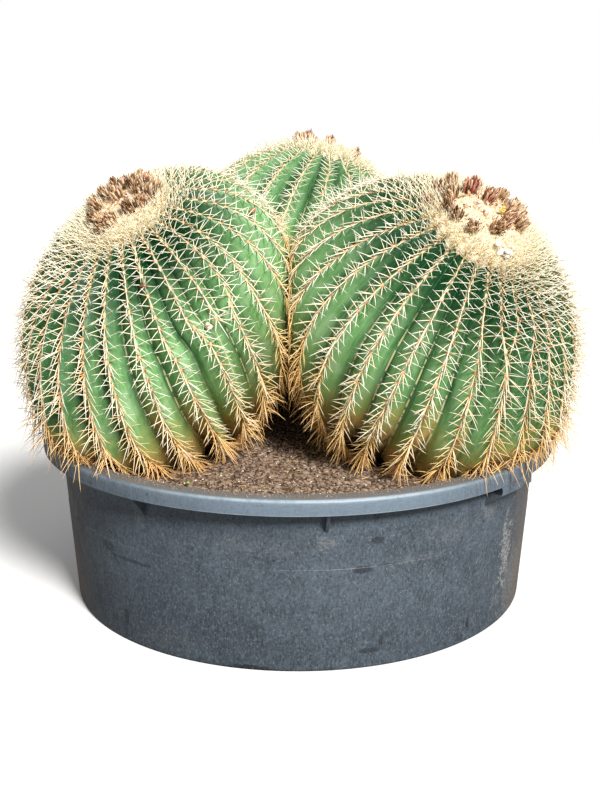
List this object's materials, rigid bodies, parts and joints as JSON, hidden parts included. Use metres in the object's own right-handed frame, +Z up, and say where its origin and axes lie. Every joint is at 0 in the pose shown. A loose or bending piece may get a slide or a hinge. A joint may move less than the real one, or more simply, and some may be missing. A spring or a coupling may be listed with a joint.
{
  "type": "potted round cactus",
  "caption": "Clump of round, ribbed cactus heads with woolly crowns and straw-coloured spines, rooted in soil in a low, wide plastic tub that stands on its flat base.",
  "frame": {"origin": "centre of the tub's flat base", "axes": "+Z up, -Y towards the front, where two heads stand side by side, +X to the right seen from the front"},
  "size_m": [0.9214, 0.9335, 0.7497],
  "materials": {
    "tub_plastic": "dull, dusty, finely scuffed",
    "soil": "rough, gritty, dry",
    "cactus_skin": "waxy, satin",
    "crown_wool": "dense felt"
  },
  "bodies": {
    "root": {"tub": "tub_plastic", "soil": "soil", "head_left": "cactus_skin", "head_right": "cactus_skin", "head_back": "cactus_skin", "crown_left": "crown_wool", "crown_right": "crown_wool", "crown_back": "crown_wool"}
  },
  "joints": []
}
